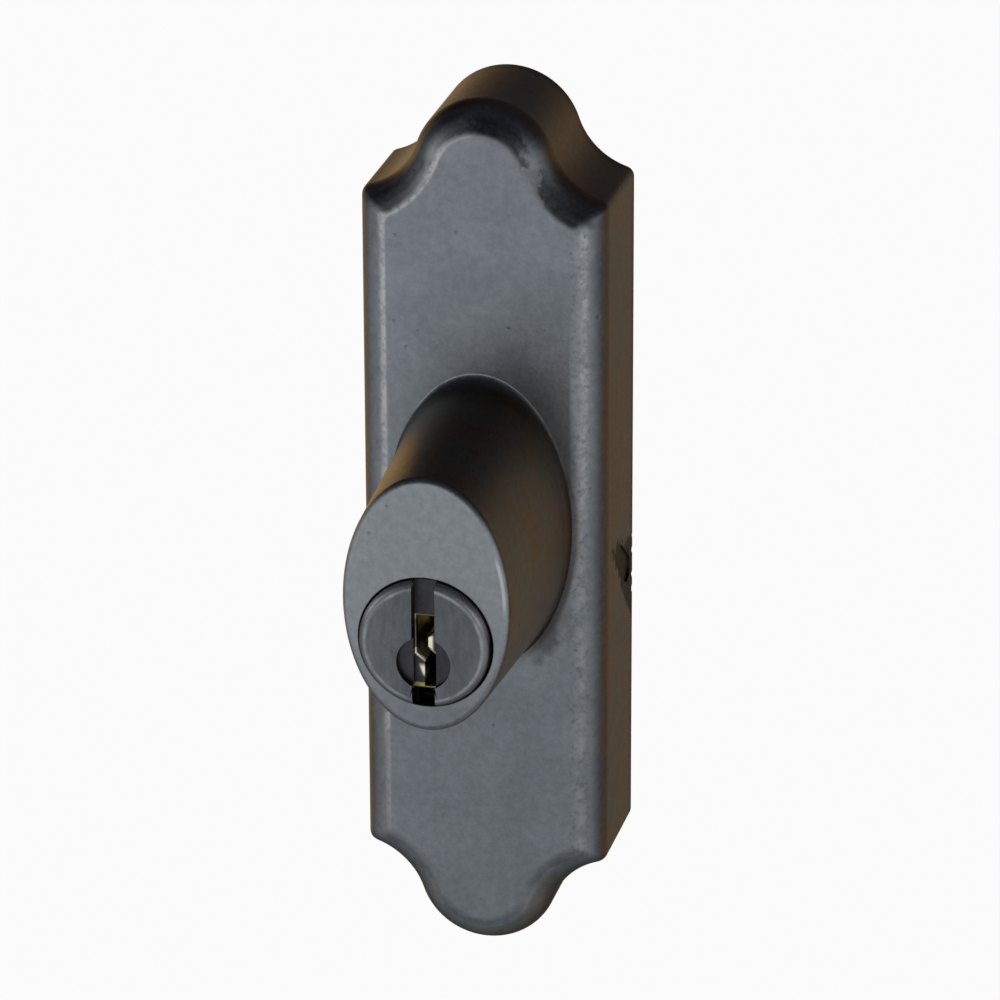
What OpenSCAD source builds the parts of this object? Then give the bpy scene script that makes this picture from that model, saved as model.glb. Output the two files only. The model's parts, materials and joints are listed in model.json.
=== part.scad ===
// Keyed exterior lock for a sliding patio door: a cast escutcheon with an oval barrel,
// and a five-pin tumbler cylinder in it. Millimetres, +Z up, the face towards -Y.
// The origin lies on the door's face, midway between the two mounting posts.
// The pins stand at the shear line, as the right key holds them.

/* [Escutcheon] */
// Width of the plate
plate_w = 26.5; // [25.5:0.5:30]
// Height of the plate over its crowns
plate_h = 96; // [92:1:110]
// Depth of the side wall, from the door's face to the bevel
wall_depth = 13.5; // [12.8:0.1:14.5]
// How far the flat front stands above the side wall
bevel_rise = 1.9; // [1.6:0.1:2.4]
// Width of the bevel, seen from the front
bevel_w = 3; // [2:0.1:3.2]
// Radius of the crown at each end
crown_r = 7.7; // [7.2:0.1:8.2]
// Radius of the hollow shoulder beside the crown
hollow_r = 7.9; // [7.2:0.1:8.8]
// Height of the crown above the corners
crown_rise = 10.5; // [10:0.1:11.2]
// Rounding of the four corners
corner_r = 1.1; // [0.7:0.1:1.5]
// Rounding of the edge between side wall and bevel
outer_soft = 3; // [1:0.1:3.2]
// Rounding of the ridge between bevel and flat
ridge_soft = 0.5; // [0.3:0.1:0.8]
// Thickness of the side walls
skin_t = 2.3; // [2:0.1:2.8]
// Thickness of the flat front
front_t = 2.5; // [2:0.1:3]

/* [Barrel] */
// Projection of the barrel from the flat
barrel_len = 22.9; // [21:0.1:26]
// Width of the barrel's face
face_w = 17.7; // [17.4:0.1:19]
// Height of the barrel's face
face_h = 28; // [27.6:0.1:30]
// Width of the barrel's root
root_w = 19.8; // [19:0.1:20.4]
// Height of the barrel's root
root_h = 31.6; // [31:0.1:34]
// Height of the barrel's centre above the plate's centre
barrel_z = 1.8; // [1.4:0.05:2.2]
// Fillet where the barrel meets the flat
root_fillet = 0.8; // [0.5:0.1:1.2]
// Rounding of the face's edge
face_soft = 0.6; // [0.3:0.1:0.9]
// Thickness of the barrel's front wall
face_t = 1.7; // [1.4:0.1:2]

/* [Cylinder] */
// Height of the plug's axis above the plate's centre
plug_z = -2.2; // [-2.6:0.05:-1.8]
// Radius of the plug
plug_r = 6.33; // [6.25:0.01:6.4]
// Radius of the plug's head
head_r = 6.95; // [6.8:0.05:7.05]
// How far the plug's head stands proud of the barrel
head_proud = 1; // [0.8:0.1:1.4]
// Chamfer round the plug's head
head_chamfer = 0.6; // [0.3:0.1:0.8]
// Outer radius of the cylinder body round the plug
shell_r = 7.3; // [7.25:0.05:7.4]
// Length of the cylinder body
shell_len = 27; // [26.6:0.1:28]
// Width of the cylinder's pin tower
tower_w = 7; // [6.6:0.1:7.6]
// Height of the pin tower above the plug's axis
tower_top = 15.2; // [15:0.1:15.6]
// Distance from the cylinder's front to its first pin
first_pin = 5.6; // [5.2:0.1:6.2]
// Distance from the last pin to the cylinder's back
last_pin = 5.4; // [5:0.1:6]
// Radius of a pin
pin_r = 1.46; // [1.3:0.01:1.5]
// Length of a driver pin
driver_len = 4; // [3.8:0.1:4.2]
// Thickness of the strip that closes the pin chambers
cover_t = 1; // [0.8:0.1:1.2]
// Width of that strip
cover_w = 4.2; // [3.8:0.1:4.6]
// Wire of a pin spring
spring_wire = 0.34; // [0.28:0.02:0.4]
// Turns of a pin spring
spring_turns = 4; // [3:0.5:4]

/* [Key slot] */
// Width of the slot across the plug's head
slot_w = 2.4; // [2.2:0.1:2.6]
// Depth of that slot
slot_depth = 1.4; // [1.2:0.1:1.8]
// Top of the keyway above the plug's axis
keyway_top = 2.7; // [2.5:0.1:3]
// Bottom of the keyway below the plug's axis
keyway_drop = 4.8; // [4.6:0.1:5.1]
// Width of the keyway inside the plug
keyway_w = 2; // [1.8:0.1:2.1]
// How far each ward reaches into the keyway
ward_reach = 0.9; // [0.7:0.05:0.95]
// Radius of the round dimple about the keyway
dimple_r = 2.85; // [2.5:0.05:3]
// Depth of the dimple
dimple_depth = 0.7; // [0.5:0.1:1]
// How far the dimple's centre lies below the plug's axis
dimple_drop = 2; // [1.8:0.1:2.4]

/* [Tailpiece] */
// Reach of the tailpiece behind the door's face
tail_reach = 30; // [20:1:45]
// Width of the tailpiece's blade
tail_w = 6.35; // [5.6:0.05:6.6]
// Thickness of the tailpiece's blade
tail_t = 1.6; // [1.4:0.1:2]
// Distance between the blade's break-off grooves
groove_pitch = 5; // [4:0.5:8]
// Outer radius of the plug's cap
cap_r = 6.25; // [6.1:0.05:6.4]
// Length of the plug's cap
cap_len = 4.6; // [4.2:0.1:5.4]

/* [Mounting] */
// Distance between the two mounting posts
post_pitch = 66; // [64:1:72]
// Outer radius of a mounting post
post_r = 3.4; // [3:0.1:3.8]
// Radius of the tapped hole in a post
post_bore_r = 1.65; // [1.4:0.05:1.8]
// Reach of the posts behind the door's face
post_reach = 14; // [10:1:20]
// Depth of the tapped hole in a post
post_bore_depth = 18; // [12:1:20]
// Thickness of the gasket
gasket_t = 1; // [0.9:0.1:1.4]
// How far the gasket stands proud of the casting's rim
gasket_proud = 0.4; // [0.2:0.1:0.5]
// Width of the gasket
gasket_w = 1.1; // [0.9:0.1:1.2]
// Thickness of the plate that holds the cylinder in
retainer_t = 1.5; // [1.2:0.1:1.8]
// Width of that plate
retainer_w = 16; // [15:0.5:18]
// Radius of its screws
screw_r = 1.25; // [1:0.05:1.3]
// Length of its screws under the head
screw_len = 6; // [5:0.5:6.5]

/* [Trim mark] */
// Width of the shallow mark that trimming left in the right wall
mark_w = 3; // [2:0.1:3.6]
// How far the mark's front end lies from the door's face
mark_reach = 7.8; // [6:0.1:8.5]
// How far its rear end stays from the door's face
mark_start = 1.6; // [1.4:0.1:2.4]
// Drop of the mark below the plate's centre, at the door's face
mark_drop = 9.4; // [8:0.1:11]
// Climb of the mark towards the front, in degrees
mark_tilt = 37; // [20:1:40]
// Depth of the mark
mark_depth = 0.3; // [0.2:0.05:0.5]

/* [Hidden] */

$fn = 64;
bronze = "#3b3a39";
brass = "#b79a55";
steel = "#a9abad";
rubber = "#1d1d1e";

// clearances
fit = 0.1;        // a piece that drops into a pocket
running = 0.05;   // a piece that turns or slides, on the radius
seat_gap = 0.05;  // two faces that meet end to end and move on each other
cut = 1;          // how far a cutter runs past the face that it opens

// levels along Y, from the rim to the front
rim_y = -gasket_proud;
edge_y = -wall_depth;
flat_y = edge_y - bevel_rise;
face_y = flat_y - barrel_len;
head_y = face_y - head_proud;
cavity_y = flat_y + front_t;
shell_front = face_y + face_t;
shell_back = shell_front + shell_len;

// outline of the plate: centres of the crown's arc and of the hollow beside it
arc_steps = 8;
crown_c = [0, plate_h / 2 - crown_r];
corner = [plate_w / 2, plate_h / 2 - crown_rise];
hollow_c = arcs_meet(crown_c, crown_r + hollow_r, corner, hollow_r);

// the pins, from front to back
key_pin_len = [7.5, 5.5, 6.6, 5.1, 6.2];
pin_count = len(key_pin_len);
pin_pitch = (shell_len - first_pin - last_pin) / (pin_count - 1);
function pin_y(i) = shell_front + first_pin + (i - 1) * pin_pitch;
pin_top = plug_r - seat_gap;        // top of the key pins, above the plug's axis
driver_low = plug_r + seat_gap;     // bottom of the driver pins
chamber_r = pin_r + running;
chamber_floor = -2.6;               // bottom of the plug's pin chambers
cover_low = tower_top - cover_t;
cover_y0 = pin_y(1) - 3;
cover_y1 = pin_y(pin_count) + 3;
spring_len = cover_low - driver_low - driver_len;

// the cap, screwed on the plug's tail, and the tailpiece that it traps
cap_front = shell_back + seat_gap;
cap_back = cap_front + cap_len;
cap_wall = 1.3;
tail_r = 4.4;                       // the plug's tail
tail_end = cap_front + 2;
tang_t = cap_back - cap_wall - tail_end - 2 * seat_gap;
keyway_end = 1.5;                   // metal behind the keyway, at the plug's back
foot_w = 1.6;                       // the keyway's open foot
foot_bridge = 0.4;
coil_r = chamber_r - fit - spring_wire / 2;
cap_pin_r = 0.6;
cap_pin_out = 5.3;                  // distance of the cap pin from the plug's axis
cap_pin_len = 3;

// the seats of posts and screws in the casting
post_boss_r = post_r + 2.2;
post_boss_h = 4;
post_collar_r = post_r + 1.2;
post_collar_t = 1.2;
screw_boss_r = 2.9;
screw_boss_gap = 0.4;               // metal between boss and pocket
screw_z = [plug_z + tower_top + fit + screw_boss_gap + screw_boss_r,
    plug_z - shell_r - fit - screw_boss_gap - screw_boss_r];
screw_head_r = 2.2;
screw_head_h = 1.5;

function unit(v) = v / norm(v);
function rest(v) = [for (i = [1:len(v) - 1]) v[i]];
function turn(a) = a > 180 ? a - 360 : a < -180 ? a + 360 : a;

// Points of an arc about c
function arc(c, r, from, to, n) =
    [for (i = [0:n]) let (a = from + (to - from) * i / n) c + r * [cos(a), sin(a)]];

// Where two arcs about a and b meet, on the upper side
function arcs_meet(a, ra, b, rb) =
    let (d = norm(b - a), u = (b - a) / d)
    let (s = (ra * ra - rb * rb + d * d) / (2 * d))
    a + s * u + sqrt(ra * ra - s * s) * [-u.y, u.x];

// The corner v between a and b, rounded to radius r
function rounded(a, v, b, r, n) =
    let (u = unit(a - v), w = unit(b - v), half = acos(u * w) / 2)
    let (c = v + unit(u + w) * r / sin(half), from = v + u * r / tan(half) - c)
    let (to = v + w * r / tan(half) - c, start = atan2(from.y, from.x))
    arc(c, r, start, start + turn(atan2(to.y, to.x) - start), n);

// A quarter of the plate's outline, drawn in by inset: corner, hollow and half a crown
function quarter(inset) =
    let (x = plate_w / 2 - inset - corner_r, reach = hollow_r + inset + corner_r)
    let (c = [x, hollow_c.y - sqrt(pow(reach, 2) - pow(hollow_c.x - x, 2))])
    let (lean = atan2(hollow_c.y - c.y, hollow_c.x - c.x))
    let (rise = atan2(hollow_c.y - crown_c.y, hollow_c.x - crown_c.x))
    concat(
        arc(c, corner_r, 0, lean, arc_steps / 2),
        rest(arc(hollow_c, hollow_r + inset, 180 + lean, 180 + rise, arc_steps)),
        rest(arc(crown_c, crown_r - inset, rise, 90, arc_steps))
    );

// The whole outline, from the right side over the top
function outline(inset) =
    let (q = quarter(inset), n = len(q))
    concat(
        q,
        [for (i = [n - 2:-1:0]) [-q[i].x, q[i].y]],
        [for (p = q) -p],
        [for (i = [n - 2:-1:0]) [q[i].x, -q[i].y]]
    );

function ellipse(a, b, n) = [for (i = [0:n - 1]) [a * cos(360 * i / n), b * sin(360 * i / n)]];

// Stands a flat outline up at the level y
function stand(points, y) = [for (p = points) [p.x, y, p.y]];

// A closed skin through rings that have equally many points
module loft(rings) {
    n = len(rings[0]);
    m = len(rings);
    polyhedron(
        points = [for (r = rings) each r],
        faces = concat(
            [[for (j = [0:n - 1]) j]],
            [for (i = [1:m - 1], j = [0:n - 1]) [(i - 1) * n + j, i * n + j, i * n + (j + 1) % n]],
            [for (i = [1:m - 1], j = [0:n - 1])
                [(i - 1) * n + j, i * n + (j + 1) % n, (i - 1) * n + (j + 1) % n]],
            [[for (j = [n - 1:-1:0]) (m - 1) * n + j]]
        )
    );
}

// A round rod along Y
module rod(r, y0, y1, x = 0, z = 0) {
    translate([x, y0, z]) rotate([-90, 0, 0]) cylinder(r = r, h = y1 - y0);
}

// A flat shape in X and Z, as thick as from y0 to y1
module slab(y0, y1) {
    translate([0, y1, 0]) rotate([90, 0, 0]) linear_extrude(y1 - y0) children();
}

// A box that is centred on X, given by its levels
module block(w, y0, y1, z0, z1) {
    translate([-w / 2, y0, z0]) cube([w, y1 - y0, z1 - z0]);
}

// A turned piece on the axis along Y through z, its profile given as radius and y
module turned(profile, z) {
    translate([0, 0, z]) rotate([90, 0, 0]) rotate_extrude()
        polygon([for (p = profile) [p.x, -p.y]]);
}

// The plate's outer skin: side wall, bevel and flat
module plate_skin() {
    ridge = [bevel_w, flat_y];
    profile = concat(
        [[0, rim_y]],
        rounded([0, rim_y], [0, edge_y], ridge, outer_soft, arc_steps / 2),
        rounded([0, edge_y], ridge, [plate_w / 2, flat_y], ridge_soft, arc_steps / 2)
    );
    loft([for (p = profile) stand(outline(p.x), p.y)]);
}

// The barrel's outer skin, with its fillet, taper and rounded face. Its fillet starts a hair
// under the flat, so that the two skins cross there and don't only touch
module barrel_skin() {
    sunk = 0.03;
    low = flat_y + sunk;
    slant = rounded([root_w, low], [0, low], [0, face_y], root_fillet, arc_steps / 2);
    rim = rounded([0, flat_y], [0, face_y], [-face_w / 2, face_y], face_soft, arc_steps / 2);
    profile = concat([[root_fillet, cavity_y - cut / 2]], slant, rim);
    translate([0, 0, barrel_z]) loft([for (p = profile)
        let (s = (flat_y - min(p.y, flat_y)) / barrel_len)
        let (a = (root_w + (face_w - root_w) * s) / 2 + p.x)
        let (b = (root_h + (face_h - root_h) * s) / 2 + p.x)
        stand(ellipse(a, b, 8 * arc_steps), p.y)]);
}

// The section of the cylinder body: a round shell under a tower for the pins
module cylinder_section(grow) {
    half = tower_w / 2 + grow;
    top = tower_top + grow;
    soft = 0.8;
    translate([0, plug_z]) {
        circle(shell_r + grow);
        polygon([[-half, 0], [half, 0], [half, top - soft], [half - soft, top],
            [soft - half, top], [-half, top - soft]]);
    }
}

module escutcheon() color(bronze) difference() {
    union() {
        difference() {
            union() {
                plate_skin();
                barrel_skin();
            }
            slab(cavity_y, cut) polygon(outline(skin_t));
        }
        for (side = [-1, 1]) {
            rod(post_boss_r, cavity_y - cut, cavity_y + post_boss_h, z = side * post_pitch / 2);
        }
        for (z = screw_z) {
            rod(screw_boss_r, cavity_y - cut, shell_back, z = z);
        }
    }
    // pocket of the cylinder and the plug's window
    slab(shell_front, cut) cylinder_section(fit);
    rod(head_r + fit, face_y - cut, shell_front + cut, z = plug_z);
    for (side = [-1, 1]) {
        rod(post_r + running, cavity_y, cut, z = side * post_pitch / 2);
    }
    for (z = screw_z) {
        rod(screw_r + running, shell_back + retainer_t - screw_len - 2 * fit, cut, z = z);
    }
    slab(-gasket_t, cut) difference() {
        polygon(outline((skin_t - gasket_w) / 2 - fit));
        polygon(outline((skin_t + gasket_w) / 2 + fit));
    }
    trim_mark();
}

// The mark in the right wall: a shallow dent with round ends that climbs towards the front
module trim_mark() {
    near = (mark_start + mark_w / 2) / cos(mark_tilt);
    far = (mark_reach - mark_w / 2) / cos(mark_tilt);
    translate([plate_w / 2 - mark_depth, 0, -mark_drop]) rotate([-mark_tilt, 0, 0]) hull() {
        for (y = [-near, -far]) {
            translate([0, y, 0]) rotate([0, 90, 0]) cylinder(r = mark_w / 2, h = cut + mark_depth);
        }
    }
}

module rim_gasket() color(rubber) slab(-gasket_t, 0) difference() {
    polygon(outline((skin_t - gasket_w) / 2));
    polygon(outline((skin_t + gasket_w) / 2));
}

module mounting_post(z) {
    collar = cavity_y + post_boss_h;
    soft = 0.5;
    color(steel) turned([
        [0, cavity_y], [post_r - soft, cavity_y], [post_r, cavity_y + soft], [post_r, collar],
        [post_collar_r, collar], [post_collar_r, collar + post_collar_t - soft],
        [post_collar_r - soft, collar + post_collar_t], [post_r, collar + post_collar_t],
        [post_r, post_reach - soft], [post_r - soft, post_reach], [post_bore_r + soft, post_reach],
        [post_bore_r, post_reach - soft], [post_bore_r, post_reach - post_bore_depth],
        [0, post_reach - post_bore_depth - post_bore_r]
    ], z);
}

module mounting_post_upper() mounting_post(post_pitch / 2);

module mounting_post_lower() mounting_post(-post_pitch / 2);

module retainer_plate() color(steel) slab(shell_back, shell_back + retainer_t) difference() {
    union() {
        for (z = screw_z) {
            translate([0, z]) circle(screw_boss_r);
        }
        translate([-screw_boss_r, screw_z[1]]) square([2 * screw_boss_r, screw_z[0] - screw_z[1]]);
        translate([0, plug_z]) intersection() {
            circle(cap_r + screw_boss_r);
            square([retainer_w, 4 * shell_r], center = true);
        }
    }
    translate([0, plug_z]) circle(cap_r + 3 * fit);
    for (z = screw_z) {
        translate([0, z]) circle(screw_r + fit);
    }
}

module retainer_screws() color(steel) for (z = screw_z) {
    under = shell_back + retainer_t;
    dome = 0.5;
    recess_w = 0.6;
    recess = 0.8;
    difference() {
        turned([
            [0, under - screw_len], [screw_r - dome, under - screw_len],
            [screw_r, under - screw_len + dome], [screw_r, under], [screw_head_r, under],
            [screw_head_r, under + screw_head_h - 2 * dome],
            [screw_head_r - dome / 2, under + screw_head_h - dome],
            [screw_head_r - 2 * dome, under + screw_head_h], [0, under + screw_head_h]
        ], z);
        for (turn = [0, 90]) {
            translate([0, under + screw_head_h, z]) rotate([0, turn, 0])
                block(2 * screw_r, -recess, cut, -recess_w / 2, recess_w / 2);
        }
    }
}

module cylinder_body() color(brass) difference() {
    slab(shell_front, shell_back) cylinder_section(0);
    rod(plug_r + running, shell_front - cut, shell_back + cut, z = plug_z);
    for (i = [1:pin_count]) {
        translate([0, pin_y(i), plug_z]) cylinder(r = chamber_r, h = tower_top + cut);
    }
    block(cover_w + 2 * fit, cover_y0 - fit, cover_y1 + fit, plug_z + cover_low, plug_z + tower_top + cut);
}

module chamber_cover() color(brass)
    block(cover_w, cover_y0, cover_y1, plug_z + cover_low, plug_z + tower_top);

// A pin spring: one wire wound from the driver pin up to the cover
module pin_spring(i) {
    rings = 8;
    sides = 6;
    last = spring_turns * rings;
    wire_r = spring_wire / 2;
    rise = spring_len - spring_wire;
    echo(spring_gap = rise / spring_turns - spring_wire);
    color(steel) translate([0, pin_y(i), plug_z + driver_low + driver_len + wire_r])
        loft([for (k = [0:last]) let (a = 360 * k / rings)
            [for (j = [0:sides - 1]) let (b = 360 * j / sides, out = coil_r + wire_r * cos(b))
                [out * cos(a), out * sin(a), wire_r * sin(b) + rise * k / last]]]);
}

module driver_pin(i) {
    soft = 0.15;
    color(brass) translate([0, pin_y(i), plug_z + driver_low]) rotate_extrude() polygon([
        [0, 0], [pin_r - soft, 0], [pin_r, soft], [pin_r, driver_len - soft],
        [pin_r - soft, driver_len], [0, driver_len]
    ]);
}

module key_pin(i) {
    length = key_pin_len[i - 1];
    tip_r = 0.55;
    tip_h = 0.8;
    soft = 0.2;
    color(brass) translate([0, pin_y(i), plug_z + pin_top - length]) rotate_extrude() polygon([
        [0, 0], [tip_r, 0], [pin_r, tip_h], [pin_r, length - soft],
        [pin_r - 2 * soft, length], [0, length]
    ]);
}

// The keyway's outline, from its top right corner downwards: a ward on each side makes it zigzag
module keyway_section() {
    w = keyway_w / 2;
    in = w - ward_reach;
    slant = 0.7;
    right = [1.3, -0.9];
    left = -2;
    translate([0, plug_z]) polygon([
        [w, keyway_top], [w, right[0]], [in, right[0] - slant], [in, right[1]], [w, right[1] - slant],
        [w, -keyway_drop], [-in, -keyway_drop], [-in, left], [-w, left + slant], [-w, keyway_top]
    ]);
}

module plug() color(brass) difference() {
    back = cap_front - seat_gap;
    turned([
        [0, head_y], [head_r - head_chamfer, head_y], [head_r, head_y + head_chamfer],
        [head_r, shell_front - seat_gap], [plug_r, shell_front - seat_gap], [plug_r, back],
        [tail_r, back], [tail_r, tail_end], [0, tail_end]
    ], plug_z);
    // slot across the head, dimple and keyway
    block(slot_w, head_y - cut, head_y + slot_depth, plug_z - head_r - cut, plug_z + head_r + cut);
    rod(dimple_r, head_y - cut, head_y + dimple_depth, z = plug_z - dimple_drop);
    slab(head_y - cut, back - keyway_end) keyway_section();
    // the keyway's open foot, as far back as the first pin
    block(foot_w, head_y - cut, pin_y(1) - chamber_r - cut, plug_z - plug_r - cut, plug_z - keyway_drop - foot_bridge);
    for (i = [1:pin_count]) {
        translate([0, pin_y(i), plug_z + chamber_floor]) cylinder(r = chamber_r, h = plug_r - chamber_floor + cut);
    }
    rod(cap_pin_r + running, back - cap_pin_len / 2, back + cut, z = plug_z + cap_pin_out);
}

// The cap: a cup screwed on the plug's tail, slotted for the blade, with a notched rim
module plug_cap() color(brass) difference() {
    soft = 0.4;
    notches = 12;
    notch_r = 0.5;
    turned([
        [tail_r + running, cap_front], [cap_r, cap_front], [cap_r, cap_back - soft],
        [cap_r - soft, cap_back], [0, cap_back], [0, cap_back - cap_wall],
        [tail_r + running, cap_back - cap_wall]
    ], plug_z);
    block(tail_t + 4 * fit, cap_back - cap_wall - cut, cap_back + cut,
        plug_z - tail_w / 2 - 2 * fit, plug_z + tail_w / 2 + 2 * fit);
    rod(cap_pin_r + running, cap_front - cut, cap_front + cap_pin_len / 2, z = plug_z + cap_pin_out);
    for (i = [1:notches]) let (a = 360 * (i - 0.5) / notches) {
        rod(notch_r, cap_back - cap_len / 2, cap_back + cut, cap_r * sin(a), plug_z + cap_r * cos(a));
    }
}

module cap_pin() color(steel)
    rod(cap_pin_r, cap_front - seat_gap - cap_pin_len / 2, cap_front - seat_gap + cap_pin_len / 2,
        z = plug_z + cap_pin_out);

// The tailpiece: a round tang in the cap, and a blade with grooves to break it off at length
module tailpiece() color(steel) difference() {
    tang = tail_end + seat_gap;
    point = 1.2;
    groove = 0.5;
    half = tail_w / 2;
    union() {
        rod(tail_r - fit, tang, tang + tang_t, z = plug_z);
        translate([-tail_t / 2, 0, plug_z]) rotate([0, 90, 0]) linear_extrude(tail_t) polygon([
            [-half, tang], [half, tang], [half, tail_reach - point], [half - point, tail_reach],
            [point - half, tail_reach], [-half, tail_reach - point]
        ]);
    }
    for (y = [groove_pitch:groove_pitch:tail_reach - groove_pitch], side = [-1, 1]) {
        translate([side * tail_t / 2, y, plug_z]) rotate([0, 0, 45])
            cube([groove, groove, tail_w + cut], center = true);
    }
}

escutcheon();
rim_gasket();
mounting_post_upper();
mounting_post_lower();
retainer_plate();
retainer_screws();
cylinder_body();
chamber_cover();
plug();
plug_cap();
cap_pin();
tailpiece();
for (i = [1:pin_count]) {
    pin_spring(i);
    driver_pin(i);
    key_pin(i);
}
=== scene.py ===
import json
import math

import bpy
from mathutils import Matrix, Vector


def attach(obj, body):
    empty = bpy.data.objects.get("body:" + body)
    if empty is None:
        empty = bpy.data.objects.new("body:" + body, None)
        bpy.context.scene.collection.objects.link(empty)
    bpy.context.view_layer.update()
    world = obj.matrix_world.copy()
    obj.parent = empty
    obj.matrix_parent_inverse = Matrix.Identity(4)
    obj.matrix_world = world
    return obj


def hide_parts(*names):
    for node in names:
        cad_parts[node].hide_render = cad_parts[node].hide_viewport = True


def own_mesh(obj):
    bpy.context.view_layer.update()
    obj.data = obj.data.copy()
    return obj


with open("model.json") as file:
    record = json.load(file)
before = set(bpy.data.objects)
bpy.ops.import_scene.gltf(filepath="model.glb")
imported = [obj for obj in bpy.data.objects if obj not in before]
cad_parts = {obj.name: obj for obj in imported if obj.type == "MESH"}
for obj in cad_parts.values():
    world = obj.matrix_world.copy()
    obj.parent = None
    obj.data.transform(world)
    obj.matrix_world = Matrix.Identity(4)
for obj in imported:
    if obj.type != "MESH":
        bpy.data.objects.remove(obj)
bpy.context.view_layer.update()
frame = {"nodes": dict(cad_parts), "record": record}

MM = 0.001          # metres in a millimetre

# Sizes in millimetres, as in the part's source. Levels of Y are below 0 in front of the door's face
PLATE_HALF_W = 13.25
PLATE_HALF_H = 48.0
CROWN_R = 7.7
CROWN_RISE = 10.5
HOLLOW_R = 7.9
CORNER_R = 1.1
BEVEL_W = 3.0
SKIN_T = 2.3
RIM_Y = -0.4
EDGE_Y = -13.5
FLAT_Y = -15.4
CAVITY_Y = -12.9
FACE_Y = -38.3
HEAD_Y = -39.3
BARREL_Z = 1.8
BARREL_LEN = 22.9
FACE_SIZE = (17.7, 28.0)
ROOT_SIZE = (19.8, 31.6)
PLUG_Z = -2.2
PLUG_R = 6.33
HEAD_R = 6.95
SHELL_R = 7.3
SHELL_FRONT = -36.6
SHELL_BACK = -9.6
TOWER_W = 7.0
TOWER_TOP = 15.2
POST_Z = 33.0
POST_R = 3.4
POST_BOSS_R = 5.6
COLLAR_R = 4.6
COLLAR_Y = CAVITY_Y + 4
SCREW_Z = (16.4, -12.9)
SCREW_BOSS_R = 2.9
SCREW_HOLE_R = 1.3
SCREW_HOLE_LEN = 4.7
GROOVE_Y = -1.0
GROOVE = (0.5, 1.8)
GASKET = (0.6, 1.7)
SLOT_HALF_W = 1.2
SLOT_DEPTH = 1.4
DIMPLE_R = 2.85
DIMPLE_DEPTH = 0.7
DIMPLE_RISE = -2.0
PIN_RISE = 5.3
CHAMBER_R = 1.51
CHAMBER_FLOOR = -2.6
CHAMBER_TOP = 7.3
CHAMBER_START = 5.6
CHAMBER_PITCH = 4
CHAMBERS = 5

PLAY = 0.1          # room round the cylinder and round the plug's head
BITE = 1            # how far a cutter, or a piece that is added, reaches past the face that it meets
WELD = 0.002        # points closer than this are one point, and levels closer than this are one level


# Small tools for working on one piece at a time

def only(obj):
    """Goes back to object mode and makes obj the one selected object"""
    if bpy.context.object and bpy.context.object.mode != 'OBJECT':
        bpy.ops.object.mode_set(mode='OBJECT')
    bpy.ops.object.select_all(action='DESELECT')
    obj.select_set(True)
    bpy.context.view_layer.objects.active = obj


def edit(obj):
    """Opens obj's mesh with nothing in it selected"""
    only(obj)
    bpy.ops.object.mode_set(mode='EDIT')
    bpy.ops.mesh.select_all(action='DESELECT')


def done():
    """Closes the mesh that is open"""
    bpy.ops.object.mode_set(mode='OBJECT')


def pick(obj, kind, test):
    """In edit mode, selects the vertices, edges or faces whose place in millimetres passes the test"""
    bpy.ops.mesh.select_all(action='DESELECT')
    bpy.ops.mesh.select_mode(type=kind)
    bpy.ops.object.mode_set(mode='OBJECT')
    mesh = obj.data
    spot = [v.co / MM for v in mesh.vertices]
    if kind == 'VERT':
        for v in mesh.vertices:
            v.select = bool(test(spot[v.index]))
    elif kind == 'EDGE':
        for e in mesh.edges:
            e.select = bool(test(spot[e.vertices[0]], spot[e.vertices[1]]))
    else:
        for p in mesh.polygons:
            p.select = bool(test(p.center / MM, p.normal))
    bpy.ops.object.mode_set(mode='EDIT')


def empty_mesh(name):
    """A new object whose mesh is open and holds nothing yet"""
    bpy.ops.object.select_all(action='DESELECT')
    bpy.ops.mesh.primitive_plane_add(size=MM)
    obj = bpy.context.object
    obj.name = name
    bpy.ops.object.mode_set(mode='EDIT')
    bpy.ops.mesh.select_mode(type='VERT')
    bpy.ops.mesh.delete(type='VERT')
    return obj


def skin(name, draw, profile):
    """Draws each pair of neighbours in the profile, bridges them, and hides the strip before the next pair"""
    obj = empty_mesh(name)
    for pair in zip(profile, profile[1:]):
        for point in pair:
            draw(*point)
        bpy.ops.mesh.select_all(action='SELECT')
        bpy.ops.mesh.bridge_edge_loops()
        bpy.ops.mesh.select_all(action='SELECT')
        bpy.ops.mesh.hide(unselected=False)
    bpy.ops.mesh.reveal()
    bpy.ops.mesh.select_all(action='SELECT')
    bpy.ops.mesh.remove_doubles(threshold=WELD * MM)
    done()
    return obj


def settle(obj):
    """Puts the object's turn, place and size into its mesh"""
    only(obj)
    bpy.ops.object.transform_apply(location=True, rotation=True, scale=True)
    return obj


def rod(name, r, y0, y1, z, sides=96):
    """A round rod along Y, at the middle from left to right"""
    bpy.ops.object.select_all(action='DESELECT')
    bpy.ops.mesh.primitive_cylinder_add(
        vertices=sides, radius=r * MM, depth=(y1 - y0) * MM,
        location=(0, (y0 + y1) / 2 * MM, z * MM), rotation=(math.pi / 2, 0, 0))
    bpy.context.object.name = name
    return settle(bpy.context.object)


def block(name, x, y, z):
    """A box between two levels on each axis"""
    bpy.ops.object.select_all(action='DESELECT')
    bpy.ops.mesh.primitive_cube_add(size=MM, location=[sum(a) / 2 * MM for a in (x, y, z)])
    bpy.context.object.scale = [a[1] - a[0] for a in (x, y, z)]
    bpy.context.object.name = name
    return settle(bpy.context.object)


def boolean(obj, tool, operation):
    """Adds the tool's solid to obj, or cuts it out, and throws the tool away"""
    only(obj)
    mod = obj.modifiers.new("solid", 'BOOLEAN')
    mod.operation = operation
    mod.solver = 'EXACT'
    mod.object = tool
    bpy.ops.object.modifier_apply(modifier=mod.name)
    bpy.data.objects.remove(tool)


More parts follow.
